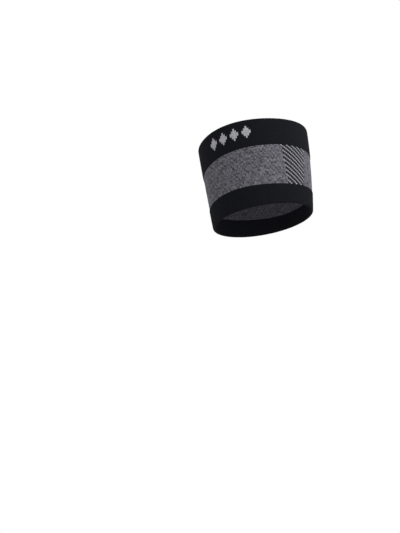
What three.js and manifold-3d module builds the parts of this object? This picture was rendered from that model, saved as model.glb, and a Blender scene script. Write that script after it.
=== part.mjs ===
import * as THREE from 'three';
import { mergeVertices } from 'three/addons/utils/BufferGeometryUtils.js';
import Module from 'manifold-3d';

// A knitted tennis elbow band, worn round the upper forearm just below the elbow.
// It is a seamless tube in four zones: a doubled cuff at each end, a grey compression zone between
// them, and a tapered panel of diagonal ribs that is let into the grey zone.
// Millimetres. +Z runs up the forearm to the elbow, X across it, and -Y is the band's front.
// The origin is on the forearm's axis, level with the wrist rim.

// Inside of the tube, where it lies on the skin
const wristSideWidth = 85.5;
const wristSideDepth = 70.2;
const elbowSideWidth = 95.8;
const elbowSideDepth = 92.6;
// How far the elbow end sits off the wrist end's axis
const elbowShiftRight = 3;
const elbowShiftFront = 0.8;

// Heights of the zones along the forearm
const lowerCuffHeight = 17.1;
const compressionHeight = 32.1;
const upperCuffHeight = 26.8;

// Walls
const compressionWall = 1.5;
const cuffStep = 0.5;
const cuffEdgeRound = 0.9;
const zoneGap = 0.3;

// Striped panel: where it sits, its width at both borders, and its ribs
const panelTurnDegrees = 46.5;
const panelTopWidth = 27.5;
const panelBottomWidth = 18.1;
const panelGroundWall = 1.1;
const ribRise = 0.5;
const ribWidth = 1.8;
const ribCrownWidth = 0.8;
const ribPitch = 3.25;
const ribSlopeDegrees = 34.5;
const firstRibAboveBorder = 0.7;

// How fine the facets are
const stepsAround = 84;
const panelSteps = 8;
const wallSteps = 4;
const roundSteps = 3;

// The band's girth grows towards the elbow. start is how steep each growth is at the wrist rim, where
// 1 is a straight taper: above 1 it eases off towards the elbow, and below 1 it gathers there.
const growth = {
  width: { start: 1.6 },
  depth: { start: 2 },
  shiftRight: { start: 1.65 },
  shiftFront: { start: 0.72 },
};

const cuffWall = compressionWall + cuffStep;
const upperBorderHeight = lowerCuffHeight + compressionHeight;
const bandHeight = upperBorderHeight + upperCuffHeight;

// The four level lines round the tube. Each is a circle of the knit that the arm tilts and waves a
// little. As shares of bandHeight, rightRise is how far its right side rises, frontRise its front,
// and waveRise the three crests of its wave, the first at a twelfth of a turn to the right.
const levels = {
  wristRim: { height: 0, rightRise: 0.008, frontRise: -0.004, waveRise: 0 },
  lowerBorder: { height: lowerCuffHeight, rightRise: -0.003, frontRise: -0.003, waveRise: -0.009 },
  upperBorder: { height: upperBorderHeight, rightRise: 0.012, frontRise: 0.021, waveRise: -0.007 },
  elbowRim: { height: bandHeight, rightRise: -0.002, frontRise: -0.003, waveRise: -0.009 },
};

const fullTurn = 2 * Math.PI;
const panelTurn = THREE.MathUtils.degToRad(panelTurnDegrees);
const ribSlope = THREE.MathUtils.degToRad(ribSlopeDegrees);
const mix = THREE.MathUtils.lerp;

// Share of a size's growth that is reached at a share of the height
function grown(heightShare, { start }) {
  return start * heightShare + (1 - start) * heightShare ** 2;
}

// Point of the tube: turn goes from the front towards +X, out is the distance off the skin
function tubePoint(turn, height, out) {
  const share = height / bandHeight;
  const halfWidth = mix(wristSideWidth, elbowSideWidth, grown(share, growth.width)) / 2;
  const halfDepth = mix(wristSideDepth, elbowSideDepth, grown(share, growth.depth)) / 2;
  const across = Math.sin(turn);
  const back = -Math.cos(turn);
  const outward = new THREE.Vector2(across / halfWidth, back / halfDepth).normalize();
  return new THREE.Vector3(
    elbowShiftRight * grown(share, growth.shiftRight) + halfWidth * across + outward.x * out,
    halfDepth * back - elbowShiftFront * grown(share, growth.shiftFront) + outward.y * out,
    height,
  );
}

// Height of a level line at a turn
function levelHeight(level, turn) {
  const tilt = level.rightRise * Math.sin(turn) + level.frontRise * Math.cos(turn);
  const wave = level.waveRise * Math.sin(3 * turn);
  return level.height + (tilt + wave) * bandHeight;
}

// Turn that goes with a distance round the tube from the panel's middle line, at a height share of
// the grey zone. The tube's outside is close to round over so short a stretch.
function turnAtDistance(distance, heightShare) {
  const low = levelHeight(levels.lowerBorder, panelTurn);
  const high = levelHeight(levels.upperBorder, panelTurn);
  const height = mix(low, high, heightShare);
  const nudge = 0.01;
  const before = tubePoint(panelTurn - nudge, height, compressionWall);
  const after = tubePoint(panelTurn + nudge, height, compressionWall);
  const distancePerTurn = before.distanceTo(after) / (2 * nudge);
  return panelTurn + distance / distancePerTurn;
}

// Turn of the panel's left edge (side -1) or right edge (side 1), gap counts off its width
function panelEdgeTurn(side, heightShare, gap) {
  const width = mix(panelBottomWidth, panelTopWidth, heightShare);
  return turnAtDistance(side * (width / 2 + gap), heightShare);
}

// Geometry from loops of points: each loop is skinned to the next one. A closed loft joins its last
// loop to its first, and an open one is capped, with the caps cut as the flat profile is.
function loft(loops, { closed, profile }) {
  const size = loops[0].length;
  const positions = loops.flat().flatMap((point) => point.toArray());
  const index = [];
  const bands = closed ? loops.length : loops.length - 1;
  for (let i = 0; i < bands; i++) {
    const here = i * size;
    const next = ((i + 1) % loops.length) * size;
    for (let j = 0; j < size; j++) {
      const k = (j + 1) % size;
      index.push(here + j, next + j, next + k);
      index.push(here + j, next + k, here + k);
    }
  }
  if (!closed) {
    const lastLoop = (loops.length - 1) * size;
    for (const [a, b, c] of THREE.ShapeUtils.triangulateShape(profile, [])) {
      index.push(a, b, c);
      index.push(lastLoop + a, lastLoop + c, lastLoop + b);
    }
  }
  const geometry = new THREE.BufferGeometry();
  geometry.setAttribute('position', new THREE.Float32BufferAttribute(positions, 3));
  geometry.setIndex(index);
  return geometry;
}

// Profile of a plain wall between two level lines, as points of height share, rise and out. The wall
// reaches from inner to outer, both counted off the skin.
function plainProfile(lowGap, highGap, inner, outer) {
  const outside = [];
  const inside = [];
  for (let i = 0; i <= wallSteps; i++) {
    const share = i / wallSteps;
    const rise = mix(lowGap, -highGap, share);
    outside.push({ share, rise, out: outer });
    inside.unshift({ share, rise, out: inner });
  }
  return [...outside, ...inside];
}

// Profile of a doubled cuff: its rim is the round fold of the welt, and at the border its outer
// edge is rounded down to the compression knit. rimShare is 1 where the rim is the high edge.
function cuffProfile(rimShare) {
  const borderShare = 1 - rimShare;
  const up = rimShare === 1 ? 1 : -1;
  const foldRadius = cuffWall / 2;
  const border = up * zoneGap / 2;
  const points = [{ share: borderShare, rise: border, out: 0 }];
  for (let i = 0; i <= roundSteps; i++) {
    const angle = (i / roundSteps) * Math.PI / 2;
    const rise = border + up * cuffEdgeRound * (1 - Math.cos(angle));
    points.push({ share: borderShare, rise, out: compressionWall + cuffStep * Math.sin(angle) });
  }
  for (let i = 1; i < wallSteps; i++) {
    points.push({ share: mix(borderShare, rimShare, i / wallSteps), rise: 0, out: cuffWall });
  }
  for (let i = 0; i <= 2 * roundSteps; i++) {
    const angle = (i / roundSteps) * Math.PI / 2;
    const rise = -up * foldRadius * (1 - Math.sin(angle));
    points.push({ share: rimShare, rise, out: foldRadius * (1 + Math.cos(angle)) });
  }
  for (let i = wallSteps - 1; i > 0; i--) {
    points.push({ share: mix(borderShare, rimShare, i / wallSteps), rise: 0, out: 0 });
  }
  return up === 1 ? points : points.reverse();
}

// Loop of a profile between two level lines. turnAt gives the turn at a height share.
function profileLoop(profile, low, high, turnAt) {
  return profile.map(({ share, rise, out }) => {
    const turn = turnAt(share);
    const height = mix(levelHeight(low, turn), levelHeight(high, turn), share) + rise;
    return tubePoint(turn, height, out);
  });
}

// Flat picture of a profile, for the caps of an open loft
function flatProfile(profile) {
  return profile.map(({ share, rise, out }) => {
    return new THREE.Vector2(out, share * compressionHeight + rise);
  });
}

function ringGeometry(profile, low, high) {
  const loops = [];
  for (let i = 0; i < stepsAround; i++) {
    const turn = (i / stepsAround) * fullTurn;
    loops.push(profileLoop(profile, low, high, () => turn));
  }
  return loft(loops, { closed: true });
}

// Geometry of a wall of the grey zone from one slanted edge round to another
function wallGeometry(profile, steps, startAt, endAt) {
  const loops = [];
  for (let i = 0; i <= steps; i++) {
    const turnAt = (share) => mix(startAt(share), endAt(share), i / steps);
    loops.push(profileLoop(profile, levels.lowerBorder, levels.upperBorder, turnAt));
  }
  return loft(loops, { closed: false, profile: flatProfile(profile) });
}

// Rib of the striped panel: a low ridge on the panel's ground, which runs down to the right and
// past both edges of the panel. number counts up from the border of the lower cuff.
function ribGeometry(number) {
  const low = levelHeight(levels.lowerBorder, panelTurn);
  const high = levelHeight(levels.upperBorder, panelTurn);
  const middle = low + firstRibAboveBorder + number * ribPitch / Math.cos(ribSlope);
  const halfRun = 0.5 * Math.max(panelTopWidth, panelBottomWidth) + ribPitch;
  const sunk = panelGroundWall / 2;
  const crown = panelGroundWall + ribRise;
  const section = [
    { across: -ribWidth / 2, out: panelGroundWall },
    { across: -ribCrownWidth / 2, out: crown },
    { across: ribCrownWidth / 2, out: crown },
    { across: ribWidth / 2, out: panelGroundWall },
    { across: ribWidth / 2, out: sunk },
    { across: -ribWidth / 2, out: sunk },
  ];
  const loops = [];
  for (let i = 0; i <= panelSteps; i++) {
    const distance = mix(-halfRun, halfRun, i / panelSteps);
    loops.push(section.map(({ across, out }) => {
      const height = middle - distance * Math.tan(ribSlope) + across / Math.cos(ribSlope);
      const turn = turnAtDistance(distance, (height - low) / (high - low));
      return tubePoint(turn, height, out);
    }));
  }
  const profile = section.map(({ across, out }) => new THREE.Vector2(out, across));
  return loft(loops, { closed: false, profile });
}

const wasm = await Module();
wasm.setup();

function solidOf(geometry) {
  const merged = mergeVertices(geometry);
  return new wasm.Manifold(new wasm.Mesh({
    numProp: 3,
    vertProperties: new Float32Array(merged.attributes.position.array),
    triVerts: new Uint32Array(merged.index.array),
  }));
}

function geometryOf(solid) {
  const mesh = solid.getMesh();
  const geometry = new THREE.BufferGeometry();
  geometry.setAttribute('position', new THREE.BufferAttribute(mesh.vertProperties, mesh.numProp));
  geometry.setIndex(new THREE.BufferAttribute(mesh.triVerts, 1));
  return geometry;
}

// Striped panel: a thin ground joined to its ribs, and both cut off at the panel's four edges
function stripedPanelGeometry() {
  const crown = panelGroundWall + ribRise;
  const edge = (side, past) => (share) => panelEdgeTurn(side, share, past);
  const outlineProfile = plainProfile(zoneGap / 2, zoneGap / 2, -crown, 2 * crown);
  const outline = wallGeometry(outlineProfile, panelSteps, edge(-1, 0), edge(1, 0));
  const groundProfile = plainProfile(-zoneGap, -zoneGap, 0, panelGroundWall);
  const ground = wallGeometry(groundProfile, panelSteps, edge(-1, zoneGap), edge(1, zoneGap));
  const risePerRib = ribPitch / Math.cos(ribSlope);
  const slant = 0.5 * Math.max(panelTopWidth, panelBottomWidth) * Math.tan(ribSlope);
  const reach = compressionHeight + 2 * levels.upperBorder.frontRise * bandHeight + slant;
  const first = -Math.ceil((slant + firstRibAboveBorder) / risePerRib);
  const last = Math.ceil(reach / risePerRib);
  let panel = solidOf(ground);
  for (let number = first; number <= last; number++) {
    panel = panel.add(solidOf(ribGeometry(number)));
  }
  return geometryOf(panel.intersect(solidOf(outline)));
}

// Grey zone: the wall that runs from the panel's right edge round the back to its left edge
function compressionGeometry() {
  const start = (share) => panelEdgeTurn(1, share, zoneGap);
  const end = (share) => panelEdgeTurn(-1, share, zoneGap) + fullTurn;
  const profile = plainProfile(zoneGap / 2, zoneGap / 2, 0, compressionWall);
  return wallGeometry(profile, stepsAround - panelSteps, start, end);
}

function yarn(color, roughness) {
  return new THREE.MeshStandardMaterial({ color, roughness, metalness: 0 });
}

const blackYarn = yarn('#1d1d21', 0.85);
const heatherYarn = yarn('#5b5a60', 0.9);
const stripeYarn = yarn('#6c6c70', 0.88);

const pieces = [
  {
    name: 'lower_cuff',
    geometry: ringGeometry(cuffProfile(0), levels.wristRim, levels.lowerBorder),
    material: blackYarn,
  },
  {
    name: 'compression_knit',
    geometry: compressionGeometry(),
    material: heatherYarn,
  },
  {
    name: 'striped_panel',
    geometry: stripedPanelGeometry(),
    material: stripeYarn,
  },
  {
    name: 'upper_cuff',
    geometry: ringGeometry(cuffProfile(1), levels.upperBorder, levels.elbowRim),
    material: blackYarn,
  },
];

const group = new THREE.Group();
group.name = 'tennis_elbow_band';
for (const { name, geometry, material } of pieces) {
  geometry.computeVertexNormals();
  const mesh = new THREE.Mesh(geometry, material);
  mesh.name = name;
  group.add(mesh);
}

export default group;
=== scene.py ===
import math
from dataclasses import dataclass

import bpy
import numpy as np
from mathutils import Matrix, Vector


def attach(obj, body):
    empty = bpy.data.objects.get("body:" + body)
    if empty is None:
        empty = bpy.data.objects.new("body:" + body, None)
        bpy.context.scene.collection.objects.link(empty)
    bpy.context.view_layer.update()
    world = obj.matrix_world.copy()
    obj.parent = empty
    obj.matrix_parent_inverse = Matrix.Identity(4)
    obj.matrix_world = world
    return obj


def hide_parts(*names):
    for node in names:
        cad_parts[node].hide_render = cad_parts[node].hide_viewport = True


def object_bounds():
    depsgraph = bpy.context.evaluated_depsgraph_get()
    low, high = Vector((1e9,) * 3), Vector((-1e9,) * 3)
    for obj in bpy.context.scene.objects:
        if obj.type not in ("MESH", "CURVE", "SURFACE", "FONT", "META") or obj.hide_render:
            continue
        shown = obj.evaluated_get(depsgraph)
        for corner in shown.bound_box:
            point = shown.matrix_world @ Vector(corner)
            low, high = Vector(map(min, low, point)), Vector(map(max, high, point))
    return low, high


# A knitted tennis elbow band, modelled stitch by stitch.
# Metres. +Z runs up the forearm to the elbow, X across it, and -Y is the band's front.
# Round the tube, places are counted in wales (columns of stitches) from the front towards +X, and
# up the tube in courses (rows of stitches) from the low edge of a zone.

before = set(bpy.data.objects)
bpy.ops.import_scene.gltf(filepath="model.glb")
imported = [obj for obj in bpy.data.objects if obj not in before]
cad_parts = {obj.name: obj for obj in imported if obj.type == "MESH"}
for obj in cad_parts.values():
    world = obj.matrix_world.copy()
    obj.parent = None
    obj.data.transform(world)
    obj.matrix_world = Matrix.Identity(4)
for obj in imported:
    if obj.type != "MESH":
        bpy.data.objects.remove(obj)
cad_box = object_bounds()

MM = 0.001
FULL_TURN = 2 * math.pi

# Inside of the tube, where it lies on the skin
WRIST_SIDE_WIDTH = 85.5 * MM
WRIST_SIDE_DEPTH = 70.2 * MM
ELBOW_SIDE_WIDTH = 95.8 * MM
ELBOW_SIDE_DEPTH = 92.6 * MM
ELBOW_SHIFT_RIGHT = 3 * MM
ELBOW_SHIFT_FRONT = 0.8 * MM
# How steep the growth in each of these is at the wrist rim, where 1 is a straight taper
WIDTH_START = 1.6
DEPTH_START = 2
SHIFT_RIGHT_START = 1.65
SHIFT_FRONT_START = 0.72

LOWER_CUFF_HEIGHT = 17.1 * MM
COMPRESSION_HEIGHT = 32.1 * MM
UPPER_CUFF_HEIGHT = 26.8 * MM
BAND_HEIGHT = LOWER_CUFF_HEIGHT + COMPRESSION_HEIGHT + UPPER_CUFF_HEIGHT

COMPRESSION_WALL = 1.5 * MM
CUFF_STEP = 0.5 * MM
CUFF_EDGE_ROUND = 0.9 * MM
FOLD_RADIUS = (COMPRESSION_WALL + CUFF_STEP) / 2

# Striped panel
PANEL_TURN = math.radians(46.5)
PANEL_TOP_WIDTH = 27.5 * MM
PANEL_BOTTOM_WIDTH = 18.1 * MM
PANEL_GROUND_WALL = 1.1 * MM
RIB_RISE = 0.5 * MM

# Stitches round the tube, and one stitch's relief
WALES = 198
OUTSIDE_COLUMNS = 4
OUTSIDE_ROWS = 3
INSIDE_ROWS = 2
STITCH_RELIEF = 0.16 * MM
CUFF_STITCH_RELIEF = 0.85 * STITCH_RELIEF
LEG_SLANT = 0.85
INSIDE_RELIEF = 0.1 * MM
# Height over one stitch, from its left to its right, and from its foot to its head
LEGS_ACROSS = ((0, 0.25, 0.5, 0.75, 1), (0, 1, 0.4, 1, 0))
LOOP_UP = ((0, 0.4, 0.75, 1), (0.2, 1, 0.8, 0.2))

# The knit's girth before it is pulled on, as a share of its girth when it is worn
RELAXED = 0.85


@dataclass
class Level:
    """A line round the tube. The rises are shares of BAND_HEIGHT: that of its right side, that of
    its front, and that of its wave's three crests, the first a twelfth of a turn to the right."""

    height: float
    right_rise: float
    front_rise: float
    wave_rise: float = 0

    def at(self, turn):
        tilt = self.right_rise * np.sin(turn) + self.front_rise * np.cos(turn)
        wave = self.wave_rise * np.sin(3 * turn)
        return self.height + (tilt + wave) * BAND_HEIGHT


WRIST_RIM = Level(0, 0.008, -0.004)
LOWER_BORDER = Level(LOWER_CUFF_HEIGHT, -0.003, -0.003, -0.009)
UPPER_BORDER = Level(LOWER_CUFF_HEIGHT + COMPRESSION_HEIGHT, 0.012, 0.021, -0.007)
ELBOW_RIM = Level(BAND_HEIGHT, -0.002, -0.003, -0.009)


@dataclass
class Zone:
    """A stretch of the tube. rim is 1 where its high edge is the fold of a doubled cuff, -1 where
    its low edge is, and 0 where neither is."""

    low: Level
    high: Level
    courses: int
    rim: int = 0


LOWER_CUFF = Zone(WRIST_RIM, LOWER_BORDER, 18, rim=-1)
COMPRESSION = Zone(LOWER_BORDER, UPPER_BORDER, 34)
UPPER_CUFF = Zone(UPPER_BORDER, ELBOW_RIM, 27, rim=1)


def mix(a, b, share):
    return a + (b - a) * share


def turn_of(wale):
    return wale / WALES * FULL_TURN


# Form of the tube


def grown(share, start):
    """Share of a size's growth that is reached at a share of the height."""
    return start * share + (1 - start) * share**2


def tube_points(turn, height, out):
    """Points of the tube at a turn from the front towards +X, a height, and a distance off the skin."""
    share = height / BAND_HEIGHT
    half_width = mix(WRIST_SIDE_WIDTH, ELBOW_SIDE_WIDTH, grown(share, WIDTH_START)) / 2
    half_depth = mix(WRIST_SIDE_DEPTH, ELBOW_SIDE_DEPTH, grown(share, DEPTH_START)) / 2
    across = np.sin(turn)
    back = -np.cos(turn)
    length = np.hypot(across / half_width, back / half_depth)
    x = half_width * across + out * across / half_width / length
    y = half_depth * back + out * back / half_depth / length
    x = x + ELBOW_SHIFT_RIGHT * grown(share, SHIFT_RIGHT_START)
    y = y - ELBOW_SHIFT_FRONT * grown(share, SHIFT_FRONT_START)
    return np.stack([x, y, height], axis=-1)


def cuff_path(height, share):
    """Outside of a doubled cuff, at a share of the way from its border over the fold at its rim.
    Gives the rise from the border, the distance off the skin, and the two parts of the normal."""
    edge_radius = (CUFF_EDGE_ROUND + CUFF_STEP) / 2
    edge_length = edge_radius * math.pi / 2
    fold_turn = 0.8 * math.pi
    straight = height - CUFF_EDGE_ROUND - FOLD_RADIUS
    distance = share * (edge_length + straight + FOLD_RADIUS * fold_turn)
    edge = np.clip(distance / edge_length, 0, 1) * math.pi / 2
    fold = np.clip((distance - edge_length - straight) / FOLD_RADIUS, 0, fold_turn)
    rise = CUFF_EDGE_ROUND * (1 - np.cos(edge)) + FOLD_RADIUS * np.sin(fold)
    rise = rise + np.clip(distance - edge_length, 0, straight)
    out = COMPRESSION_WALL + CUFF_STEP * np.sin(edge) - FOLD_RADIUS * (1 - np.cos(fold))
    normal_rise = np.sin(fold) - np.cos(edge)
    normal_out = np.sin(edge) * np.cos(fold)
    length = np.hypot(normal_rise, normal_out)
    return rise, out, normal_rise / length, normal_out / length


def outside_points(zone, wale, course, relief):
    """Points of a zone's outside, raised by relief along its normal."""
    turn = turn_of(wale)
    low = zone.low.at(turn)
    height = zone.high.at(turn) - low
    share = course / zone.courses
    if zone.rim == 0:
        return tube_points(turn, low + height * share, COMPRESSION_WALL + relief)
    up = zone.rim
    border = low if up == 1 else low + height
    from_border = share if up == 1 else 1 - share
    rise, out, normal_rise, normal_out = cuff_path(height, from_border)
    rise = rise + normal_rise * relief
    return tube_points(turn, border + up * rise, out + normal_out * relief)


def inside_points(zone, wale, course, relief):
    """Points of a zone's inside. A cuff's stops where its fold begins."""
    turn = turn_of(wale)
    low = zone.low.at(turn) + (FOLD_RADIUS if zone.rim == -1 else 0)
    high = zone.high.at(turn) - (FOLD_RADIUS if zone.rim == 1 else 0)
    return tube_points(turn, mix(low, high, course / zone.courses), relief)


# Patterns, each a function of whole wales and courses


def panel_edge_wale(side, course):
    """Wale at which the striped panel's left edge (side -1) or right edge (side 1) lies."""
    share = (course + 0.5) / COMPRESSION.courses
    low = COMPRESSION.low.at(PANEL_TURN)
    height = mix(low, COMPRESSION.high.at(PANEL_TURN), share)
    nudge = 0.01
    turns = np.array([PANEL_TURN - nudge, PANEL_TURN + nudge])
    levels = np.stack([height, height])
    reach = tube_points(turns.reshape(2, *[1] * np.ndim(height)), levels, COMPRESSION_WALL)
    distance_per_turn = np.linalg.norm(reach[1] - reach[0], axis=-1) / (2 * nudge)
    half = mix(PANEL_BOTTOM_WIDTH, PANEL_TOP_WIDTH, share) / 2
    turn = PANEL_TURN + side * half / distance_per_turn
    return np.round(turn / FULL_TURN * WALES)


def in_panel(wale, course):
    return (wale >= panel_edge_wale(-1, course)) & (wale < panel_edge_wale(1, course))


# Share of light yarn in the stitches of one repeat, from the bottom up. The faint stitch under each
# light line shows a little of both yarns, as a tuck stitch does, and is partly painted shade on the
# underside of the rib.
STRIPE_REPEAT = np.array([0.15, 1, 0, 0])


def stripes(wale, course):
    """Share of light yarn. The stripes run down one course with each wale to the right."""
    return STRIPE_REPEAT[np.int64(wale + course) % len(STRIPE_REPEAT)]


@dataclass
class Spot:
    """A dark stitch of the honeycomb: its place in the repeat, and how dark it is."""

    wale: int
    course: int
    depth: float


HONEYCOMB_WALES = 6
HONEYCOMB_COURSES = 5
HONEYCOMB = (
    Spot(wale=0, course=2, depth=1),
    Spot(wale=1, course=2, depth=1),
    Spot(wale=5, course=3, depth=0.6),
    Spot(wale=2, course=1, depth=0.6),
)


def honeycomb(wale, course):
    """Depth of the dark stitches, whose rows are staggered by half a repeat."""
    row = course // HONEYCOMB_COURSES
    across = (wale + row % 2 * (HONEYCOMB_WALES // 2)) % HONEYCOMB_WALES
    up = course % HONEYCOMB_COURSES
    depth = np.zeros(np.broadcast(wale, course).shape)
    for spot in HONEYCOMB:
        depth = np.where((across == spot.wale) & (up == spot.course), spot.depth, depth)
    return depth


# Depth of the grey zone's fine diagonals in one repeat, from the bottom up
TWILL_REPEAT = np.array([1, 0.5, 0, 0, 0.5])
TWILL_FALL = 2


def twill(wale, course):
    """Depth of the fine diagonals, which run down TWILL_FALL courses with each wale to the right."""
    return TWILL_REPEAT[np.int64(TWILL_FALL * wale + course) % len(TWILL_REPEAT)]


SPECKLE_SEED = 3
SPECKLES = np.random.default_rng(SPECKLE_SEED).random((WALES, COMPRESSION.courses))
SPECKLE_SHARE = 0.6
HONEYCOMB_SHARE = 0.2
TWILL_SHARE = 0.28


def heather(wale, course):
    """Share of dark yarn in each stitch of the grey zone: by chance, and higher in the honeycomb's
    spots and along the fine diagonals."""
    chance = SPECKLES[np.int64(wale) % WALES, np.int64(course)]
    drawn = HONEYCOMB_SHARE * honeycomb(wale, course) + TWILL_SHARE * twill(wale, course)
    return np.clip(SPECKLE_SHARE * chance + drawn, 0, 1)


DIAMONDS = 4
DIAMOND_FIRST_WALE = -24
DIAMOND_PITCH = 7
DIAMOND_MIDDLE_COURSE = 13
DIAMOND_HALF_COURSES = 5
# Courses that a diamond's side rises in one wale
DIAMOND_STEEPNESS = 2


def diamonds(wale, course):
    """1 on the row of small light diamonds at the front of the upper cuff."""
    number = np.floor((wale - DIAMOND_FIRST_WALE) / DIAMOND_PITCH + 0.5)
    across = np.abs(wale - DIAMOND_FIRST_WALE - number * DIAMOND_PITCH)
    up = np.abs(course - DIAMOND_MIDDLE_COURSE)
    inside = DIAMOND_STEEPNESS * across + up <= DIAMOND_HALF_COURSES
    return (inside & (number >= 0) & (number < DIAMONDS)) * 1.0


def plain(wale, course):
    return np.zeros(np.broadcast(wale, course).shape)


def softened(pattern, wale, course):
    """A pattern's mean over the stitches that lie round a point."""
    reach = 0.3
    total = 0
    for side in (-reach, reach):
        for end in (-reach, reach):
            total = total + pattern(np.floor(wale + side), np.floor(course + end))
    return total / 4


# Relief


def end_fade(zone, course, reach=0.8):
    """1 over a zone, falling to 0 at its two ends over reach courses."""
    return np.clip(np.minimum(course, zone.courses - course) / reach, 0, 1)


def stitch_relief(wale, course):
    """Height of the two legs of each plain stitch, from 0 in the grooves to 1."""
    return np.interp(wale % 1, *LEGS_ACROSS) * np.interp(course % 1, *LOOP_UP)


def leg_slant(zone, wale, course):
    """Courses by which the legs of a stitch rise to both of its sides."""
    return LEG_SLANT * np.abs(2 * (wale % 1) - 1) * end_fade(zone, course, reach=1.5)


def compression_relief(wale, course):
    """Relief of the grey zone and its panel: low cells between the honeycomb's dark stitches, and
    ribs on a thinner ground where the stripes are."""
    spot_depth = 0.22 * MM
    cells = -spot_depth * softened(honeycomb, wale, course)
    ribs = RIB_RISE * softened(stripes, wale, course) - (COMPRESSION_WALL - PANEL_GROUND_WALL)
    form = mix(cells, ribs, softened(in_panel, wale, course))
    return form + STITCH_RELIEF * stitch_relief(wale, course)


def cuff_relief(pattern):
    """Relief of a cuff, on which the stitches of a pattern stand a little higher."""
    raised = 0.1 * MM

    def at(wale, course):
        stitches = CUFF_STITCH_RELIEF * stitch_relief(wale, course)
        return stitches + raised * softened(pattern, wale, course)

    return at


# Meshes


def fine_grid(zone, relief):
    """Points of the outside, OUTSIDE_COLUMNS to a wale and OUTSIDE_ROWS to a course."""
    wale = np.arange(WALES * OUTSIDE_COLUMNS)[:, None] / OUTSIDE_COLUMNS - WALES / 2
    course = np.arange(zone.courses * OUTSIDE_ROWS + 1)[None, :] / OUTSIDE_ROWS
    course = course + 0 * wale
    wale = wale + 0 * course
    raised = relief(wale, course) * end_fade(zone, course)
    slanted = course + leg_slant(zone, wale, course)
    return outside_points(zone, wale, np.minimum(slanted, zone.courses), raised)


def coarse_grid(zone):
    """Points of the inside, one to a wale and INSIDE_ROWS to a course."""
    wale = np.arange(WALES)[:, None] - WALES / 2
    rows = np.arange(zone.courses * INSIDE_ROWS + 1)[None, :] + 0 * wale
    purl = INSIDE_RELIEF * (rows % 2)
    return inside_points(zone, wale + 0 * rows, rows / INSIDE_ROWS, purl)


def wall_loops(zone, cells):
    """Loops of vertices that close the mesh between outside and inside, where a stitch has no
    neighbour in the piece. Each is (outside columns, outside rows, inside columns, inside rows)."""
    loops = []
    for wale, course in np.argwhere(cells):
        left = cells[wale - 1, course]
        right = cells[(wale + 1) % WALES, course]
        below = course > 0 and cells[wale, course - 1]
        above = course + 1 < zone.courses and cells[wale, course + 1]
        fine = wale * OUTSIDE_COLUMNS + np.arange(OUTSIDE_COLUMNS + 1)
        up = course * OUTSIDE_ROWS + np.arange(OUTSIDE_ROWS + 1)
        inner = np.array([wale, wale + 1])
        inner_up = course * INSIDE_ROWS + np.arange(INSIDE_ROWS + 1)
        if not below:
            loops.append((fine[::-1], up[:1], inner, inner_up[:1]))
        if not above:
            loops.append((fine, up[-1:], inner[::-1], inner_up[-1:]))
        if not left:
            loops.append((fine[:1], up, inner[:1], inner_up[::-1]))
        if not right:
            loops.append((fine[-1:], up[::-1], inner[-1:], inner_up))
    return loops


def quads(cells, columns, rows, flip):
    """Corners of the quads that cover the stitches of cells, each stitch cut into columns by rows.
    Gives arrays of (quad, corner) for the column and the row, and the quad's stitch."""
    wale, course = np.argwhere(cells).T[:, :, None, None]
    column = wale * columns + np.arange(columns)[None, :, None]
    row = course * rows + np.arange(rows)[None, None, :]
    column, row = (a.ravel()[:, None] for a in np.broadcast_arrays(column, row))
    across = np.array([0, 1, 1, 0])
    up = np.array([0, 0, 1, 1])
    if flip:
        across, up = across[::-1], up[::-1]
    stitch = np.hstack([column // columns, row // rows])
    return column + across, row + up, stitch


# Shares of the bake image: two strips of the unrolled tube, each with its outside under its
# inside, and a band for the walls on top
STRIPS_TOP = 0.93
MARGIN = 0.006


def bake_places(cells, wale, course, courses, stitch_wale, inside):
    """Places on the bake image for points of the unrolled piece."""
    used = np.flatnonzero(cells.any(axis=1))
    first, last = used.min(), used.max() + 1
    strips = 2 if len(used) > WALES / 2 else 1
    per_strip = math.ceil((last - first) / strips)
    strip = (stitch_wale - first) // per_strip
    along = (wale - first - strip * per_strip) / per_strip
    if inside:
        along = 1 - along
    u = mix(MARGIN, 1 - MARGIN, along)
    up = (strip + mix(MARGIN, 0.5 - MARGIN, course / courses) + 0.5 * inside) / strips
    return u, up * STRIPS_TOP


def wall_place(number, count, corners):
    """Corners of one wall on the bake image: an oval in a small cell of its own, in the band above
    the strips."""
    per_row = 64
    used_share = 0.8
    middle = 0.55
    radius = 0.45
    row_count = math.ceil(count / per_row)
    left = (number % per_row) / per_row
    low = mix(STRIPS_TOP, 1, (number // per_row) / row_count)
    cell_width = used_share / per_row
    cell_height = used_share * (1 - STRIPS_TOP) / row_count
    angles = np.arange(corners) / corners * FULL_TURN
    u = left + cell_width * (middle + radius * np.cos(angles))
    v = low + cell_height * (middle + radius * np.sin(angles))
    return np.stack([u, v], axis=-1)


def make_mesh(name, points, faces, maps, yarns, slots):
    """A mesh of the points that its faces use. maps holds the places of each map under its name,
    one for each corner of the faces, and yarns and slots have one value for each face."""
    used = np.unique(np.concatenate([np.array(face) for face in faces]))
    renumber = np.zeros(len(points), int)
    renumber[used] = np.arange(len(used))
    mesh = bpy.data.meshes.new(name)
    mesh.from_pydata(points[used].tolist(), [], [renumber[face].tolist() for face in faces])
    for map_name, places in maps.items():
        layer = mesh.uv_layers.new(name=map_name)
        layer.data.foreach_set("uv", np.concatenate(places).astype(np.float32).ravel())
    mesh.attributes.new("yarn", "FLOAT", "FACE")
    mesh.attributes["yarn"].data.foreach_set("value", np.concatenate(yarns).astype(np.float32))
    mesh.polygons.foreach_set("material_index", np.concatenate(slots).astype(np.int32))
    mesh.shade_smooth()
    return mesh


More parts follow.
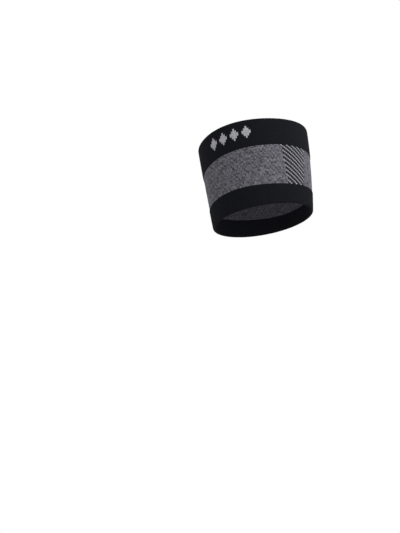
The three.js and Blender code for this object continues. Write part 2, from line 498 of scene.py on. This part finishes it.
def knit_mesh(name, zone, cells, relief, yarn, inside_yarn):
    """A closed piece of the knit: the stitches of cells, with their outside, inside and edges.
    Its map named stitches counts wales and courses, and its attribute yarn is each stitch's yarn."""
    outside = fine_grid(zone, relief)
    inside = coarse_grid(zone)
    points = np.concatenate([outside.reshape(-1, 3), inside.reshape(-1, 3)])

    def outside_index(column, row):
        return column % (WALES * OUTSIDE_COLUMNS) * outside.shape[1] + row

    def inside_index(column, row):
        return outside[..., 0].size + column % WALES * inside.shape[1] + row

    faces, stitch_map, bake_map, yarns, slots = [], [], [], [], []
    shown = (
        (OUTSIDE_COLUMNS, OUTSIDE_ROWS, outside_index, yarn, False),
        (1, INSIDE_ROWS, inside_index, inside_yarn, True),
    )
    for columns, rows, index, pattern, is_inside in shown:
        column, row, stitch = quads(cells, columns, rows, is_inside)
        wale, course = column / columns, row / rows
        faces += index(column, row).tolist()
        stitch_map.append(np.stack([wale - WALES / 2, course], axis=-1).reshape(-1, 2))
        places = bake_places(cells, wale, course, zone.courses, stitch[:, :1], is_inside)
        bake_map.append(np.stack(places, axis=-1).reshape(-1, 2))
        yarns.append(pattern(stitch[:, 0] - WALES // 2, stitch[:, 1]))
        slots.append(np.full(len(column), int(is_inside)))

    walls = wall_loops(zone, cells)
    for number, (column, row, inner_column, inner_row) in enumerate(walls):
        outer = np.broadcast_arrays(outside_index(column, row))[0].tolist()
        inner = np.broadcast_arrays(inside_index(inner_column, inner_row))[0].tolist()
        loop = outer + inner
        faces.append(loop)
        place = wall_place(number, len(walls), len(loop))
        stitch_map.append(place)
        bake_map.append(place)
    yarns.append(np.zeros(len(walls)))
    slots.append(np.ones(len(walls), int))

    maps = {"stitches": stitch_map, "OFBake": bake_map}
    mesh = make_mesh(name, points, faces, maps, yarns, slots)
    sharpen_walls(mesh, len(walls))
    return mesh


def sharpen_walls(mesh, wall_count):
    """Marks the edges of the walls, the last faces of the mesh, as sharp."""
    sharp = np.zeros(len(mesh.edges), bool)
    for face in mesh.polygons[len(mesh.polygons) - wall_count:]:
        for loop in face.loop_indices:
            sharp[mesh.loops[loop].edge_index] = True
    mesh.attributes.new("sharp_edge", "BOOLEAN", "EDGE")
    mesh.attributes["sharp_edge"].data.foreach_set("value", sharp)


# Materials


class Nodes:
    """Short ways to add nodes to a material."""

    def __init__(self, name):
        self.material = bpy.data.materials.new(name)
        self.material.use_nodes = True
        self.tree = self.material.node_tree
        self.shader = self.tree.nodes["Principled BSDF"]

    def connect(self, node, inputs):
        """Links each input of a node to an output, or sets it to a value."""
        for key, value in inputs.items():
            if isinstance(value, bpy.types.NodeSocket):
                self.tree.links.new(value, node.inputs[key])
            else:
                node.inputs[key].default_value = value

    def add(self, kind, inputs, **settings):
        node = self.tree.nodes.new(kind)
        for key, value in settings.items():
            setattr(node, key, value)
        self.connect(node, inputs)
        return node

    def math(self, operation, *values):
        node = self.add("ShaderNodeMath", dict(enumerate(values)), operation=operation)
        return node.outputs[0]

    def vector(self, x, y):
        return self.add("ShaderNodeCombineXYZ", {"X": x, "Y": y}).outputs[0]

    def range(self, value, low, high):
        """value, which goes from 0 to 1, brought between low and high."""
        node = self.add("ShaderNodeMapRange", {"Value": value, "To Min": low, "To Max": high})
        return node.outputs[0]

    def mix_color(self, share, a, b):
        node = self.add("ShaderNodeMix", {0: share, 6: a, 7: b}, data_type="RGBA")
        return node.outputs[2]

    def scale_color(self, color, factor):
        node = self.add("ShaderNodeVectorMath", {0: color, "Scale": factor}, operation="SCALE")
        return node.outputs[0]

    def noise(self, place, detail=2.0):
        inputs = {"Vector": place, "Scale": 1.0, "Detail": detail, "Roughness": 0.6}
        return self.add("ShaderNodeTexNoise", inputs).outputs[0]

    def ridges(self, value, width, power):
        """Height of ridges that lie side by side, each width wide: 0 between them and 1 on top.
        The lower the power, the fuller they are."""
        half = width / 2
        slope = self.math("MULTIPLY", self.math("PINGPONG", value, half), 1 / half)
        return self.math("POWER", slope, power)


@dataclass
class Yarn:
    """Colours and unevenness of a knit. The yarn attribute goes from the ground to the figure. Each
    spread is the most by which the shade rises or falls by chance: in streaks along a course, from
    fibre to fibre, and from stitch to stitch."""

    ground: tuple
    figure: tuple
    streak_spread: float
    fibre_spread: float
    stitch_spread: float = 0.12
    sheen: float = 0.05


# Painted shade and light: how much the yarn's colour is darkened in the grooves between its legs, and
# lightened on top of them
GROOVE_PAINTED_SHADE = 0.3
CROWN_PAINTED_LIGHT = 1.4

# Noise cells of the fibres in one stitch, along its yarn and across it
FIBRES_ALONG = 3.0
FIBRES_ACROSS = 11.0
# Noise cells of the streaks in one wale, and from one course's streaks to the next one's
STREAKS_PER_WALE = 0.45
STREAK_STEP = 7.3
# Height of the fibres as a share of the stitch's
FIBRE_HEIGHT = 0.35


def knit_material(name, yarn, inside):
    """Knitted yarn, drawn in the counts of the map named stitches. inside is the purl side."""
    nodes = Nodes(name)
    place = nodes.add("ShaderNodeUVMap", {}, uv_map="stitches").outputs[0]
    parts = nodes.add("ShaderNodeSeparateXYZ", {0: place}).outputs
    wale, course = parts[0], parts[1]
    whole_wale = nodes.math("FLOOR", wale)
    whole_course = nodes.math("FLOOR", course)
    relief = purl_relief(nodes, wale, course) if inside else leg_relief(nodes, wale, course)

    stitch = nodes.vector(whole_wale, whole_course)
    by_stitch = nodes.add("ShaderNodeTexWhiteNoise", {"Vector": stitch}).outputs[0]
    streak_across = nodes.math("MULTIPLY", wale, STREAKS_PER_WALE)
    streak_up = nodes.math("MULTIPLY", whole_course, STREAK_STEP)
    streak = nodes.noise(nodes.vector(streak_across, streak_up))
    fibre_across = nodes.math("MULTIPLY", wale, FIBRES_ALONG if inside else FIBRES_ACROSS)
    fibre_up = nodes.math("MULTIPLY", course, FIBRES_ACROSS if inside else FIBRES_ALONG)
    fibre = nodes.noise(nodes.vector(fibre_across, fibre_up), detail=3.0)

    shade = 1.0
    for value, spread in (
        (by_stitch, yarn.stitch_spread),
        (streak, yarn.streak_spread),
        (fibre, yarn.fibre_spread),
    ):
        shade = nodes.math("MULTIPLY", shade, nodes.range(value, 1 - spread, 1 + spread))
    # Painted shade and light: the colour darkens in each stitch's grooves and lightens on its crowns,
    # following the relief
    shade = nodes.math("MULTIPLY", shade, nodes.range(relief, GROOVE_PAINTED_SHADE, CROWN_PAINTED_LIGHT))

    share = nodes.add("ShaderNodeAttribute", {}, attribute_name="yarn").outputs["Fac"]
    color = nodes.mix_color(share, (*yarn.ground, 1), (*yarn.figure, 1))
    color = nodes.scale_color(color, shade)

    height = nodes.math("ADD", relief, nodes.math("MULTIPLY", fibre, FIBRE_HEIGHT))
    bump_inputs = {"Height": height, "Strength": 0.8, "Distance": 0.12 * MM}
    bump = nodes.add("ShaderNodeBump", bump_inputs).outputs[0]
    surface = {
        "Base Color": color,
        "Normal": bump,
        "Roughness": 0.85,
        "Specular IOR Level": 0.04,
        "Sheen Weight": yarn.sheen,
        "Sheen Roughness": 0.5,
    }
    nodes.connect(nodes.shader, surface)
    return nodes.material


def leg_relief(nodes, wale, course):
    """Round section of a stitch's two legs, from 0 in the grooves to 1."""
    across = nodes.ridges(wale, width=0.5, power=0.5)
    up = nodes.ridges(course, width=1, power=0.35)
    return nodes.math("MULTIPLY", across, up)


def purl_relief(nodes, wale, course):
    """Bent rows of the purl side, where the heads of the loops show, from 0 in the grooves to 1."""
    row_bend = 0.16
    wave = nodes.math("COSINE", nodes.math("MULTIPLY", wale, FULL_TURN))
    row = nodes.math("ADD", course, nodes.math("MULTIPLY", wave, row_bend))
    return nodes.ridges(row, width=1, power=0.6)


BLACK = (0.0060, 0.0064, 0.0088)
DIAMOND_GREY = (0.33, 0.33, 0.345)
HEATHER_LIGHT = (0.158, 0.155, 0.178)
HEATHER_DARK = (0.022, 0.022, 0.026)
HEATHER_REVERSE = (0.085, 0.083, 0.097)
STRIPE_LIGHT = (0.270, 0.270, 0.295)
STRIPE_DARK = (0.005, 0.005, 0.007)

BLACK_YARN = Yarn(BLACK, DIAMOND_GREY, streak_spread=0.10, fibre_spread=0.25, sheen=0.01)
HEATHER_YARN = Yarn(HEATHER_LIGHT, HEATHER_DARK, streak_spread=0.95, fibre_spread=0.4, sheen=0.02)
HEATHER_INSIDE = Yarn(HEATHER_REVERSE, HEATHER_DARK, streak_spread=0.5, fibre_spread=0.4)
STRIPE_YARN = Yarn(STRIPE_DARK, STRIPE_LIGHT, streak_spread=0.15, fibre_spread=0.3)


# The band


def ring_cells(zone):
    return np.ones((WALES, zone.courses), bool)


def panel_cells():
    wale = np.arange(WALES)[:, None] - WALES // 2
    course = np.arange(COMPRESSION.courses)[None, :]
    return in_panel(wale, course)


def worn_girth(zone):
    """Girth of a zone's outside, halfway up it."""
    wale = np.arange(WALES + 1.0)
    points = outside_points(zone, wale, np.full(WALES + 1, zone.courses / 2), 0 * wale)
    return float(np.linalg.norm(np.diff(points, axis=0), axis=1).sum())


def knit_piece(name, node, zone, cells, relief, patterns, yarns):
    """One zone as a finished piece, in the place of its node. patterns and yarns have one for the
    outside and one for the inside."""
    mesh = knit_mesh(name, zone, cells, relief, *patterns)
    for side, yarn, inside in (("outside", yarns[0], False), ("inside", yarns[1], True)):
        mesh.materials.append(knit_material(f"{name}_{side}", yarn, inside))
    piece = bpy.data.objects.new(name, mesh)
    bpy.context.scene.collection.objects.link(piece)
    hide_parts(node)
    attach(piece, "root")
    turns = turn_of(np.flatnonzero(cells.any(axis=1)) - WALES / 2)
    height = float(np.mean(zone.high.at(turns) - zone.low.at(turns)))
    width = RELAXED * worn_girth(zone) * cells.mean()


def make_lower_cuff():
    knit_piece(
        "knit_lower_cuff", node="lower_cuff", zone=LOWER_CUFF,
        cells=ring_cells(LOWER_CUFF), relief=cuff_relief(plain),
        patterns=(plain, plain), yarns=(BLACK_YARN, BLACK_YARN),
    )


def make_compression_knit():
    knit_piece(
        "knit_compression", node="compression_knit", zone=COMPRESSION,
        cells=~panel_cells(), relief=compression_relief,
        patterns=(heather, heather), yarns=(HEATHER_YARN, HEATHER_INSIDE),
    )


def make_striped_panel():
    knit_piece(
        "knit_striped_panel", node="striped_panel", zone=COMPRESSION,
        cells=panel_cells(), relief=compression_relief,
        patterns=(stripes, stripes), yarns=(STRIPE_YARN, STRIPE_YARN),
    )


def make_upper_cuff():
    knit_piece(
        "knit_upper_cuff", node="upper_cuff", zone=UPPER_CUFF,
        cells=ring_cells(UPPER_CUFF), relief=cuff_relief(diamonds),
        patterns=(diamonds, plain), yarns=(BLACK_YARN, BLACK_YARN),
    )


# Camera


def make_camera():
    """Looks up at the band from below its front, as the photograph does. The camera is turned off
    the band, so that the band has its place in the photograph's frame."""
    photo_width = 400
    photo_height = 533
    band_pixel = (255.8, 179.7)
    view_distance = 1.0
    pixels_per_radian = 1111.1
    elevation = math.radians(-23.86)
    roll = math.radians(10.04)
    middle = Vector((0, 0, 40 * MM))

    back = Vector((0, -math.cos(elevation), math.sin(elevation)))
    right = Vector((1, 0, 0))
    up = back.cross(right)
    aim_x = (band_pixel[0] - photo_width / 2) / pixels_per_radian
    aim_y = -(band_pixel[1] - photo_height / 2) / pixels_per_radian
    to_camera = -Vector((aim_x, aim_y, -1)).normalized()
    aim_right = Vector((0, 1, 0)).cross(to_camera).normalized()
    aim_up = to_camera.cross(aim_right)
    look = Matrix((right, up, back)).transposed()
    turned = look @ Matrix.Rotation(-roll, 3, "Z") @ Matrix((aim_right, aim_up, to_camera))

    camera = bpy.data.objects.new("camera", bpy.data.cameras.new("camera"))
    camera.data.sensor_width = 36
    camera.data.lens = pixels_per_radian * camera.data.sensor_width / photo_height
    camera.data.clip_start = 0.01
    camera.matrix_world = Matrix.Translation(middle + view_distance * back) @ turned.to_4x4()
    bpy.context.scene.collection.objects.link(camera)
    bpy.context.scene.camera = camera


# Studio


def area_light(name, place, size, power, aim):
    light = bpy.data.objects.new(name, bpy.data.lights.new(name, "AREA"))
    light.data.size = size
    light.data.energy = power
    light.location = place
    light.rotation_euler = (Vector(aim) - Vector(place)).to_track_quat("-Z", "Y").to_euler()
    bpy.context.scene.collection.objects.link(light)


def plain_material(name, color, roughness):
    nodes = Nodes(name)
    nodes.connect(nodes.shader, {"Base Color": (*color, 1), "Roughness": roughness})
    return nodes.material


def make_studio():
    """A pale floor, a bright even room, and one large soft light from the right."""
    floor_height = -0.6
    floor_half = 8.0
    floor_grey = (0.86, 0.86, 0.87)
    key_offset = Vector((0.95, -0.55, 0.35))
    corners = [(-1, -1), (1, -1), (1, 1), (-1, 1)]
    mesh = bpy.data.meshes.new("floor")
    points = [(x * floor_half, y * floor_half, floor_height) for x, y in corners]
    mesh.from_pydata(points, [], [(0, 1, 2, 3)])
    mesh.materials.append(plain_material("floor", floor_grey, roughness=0.9))
    floor = bpy.data.objects.new("floor", mesh)
    bpy.context.scene.collection.objects.link(floor)

    world = bpy.data.worlds.new("room")
    world.use_nodes = True
    background = world.node_tree.nodes["Background"]
    background.inputs["Color"].default_value = (1, 1, 1, 1)
    background.inputs["Strength"].default_value = 1.0
    bpy.context.scene.world = world
    bpy.context.scene.view_settings.view_transform = "Standard"

    middle = (cad_box[0] + cad_box[1]) / 2
    area_light("key", place=middle + key_offset, size=0.6, power=11, aim=middle)


make_camera()
make_studio()
make_lower_cuff()
make_compression_knit()
make_striped_panel()
make_upper_cuff()
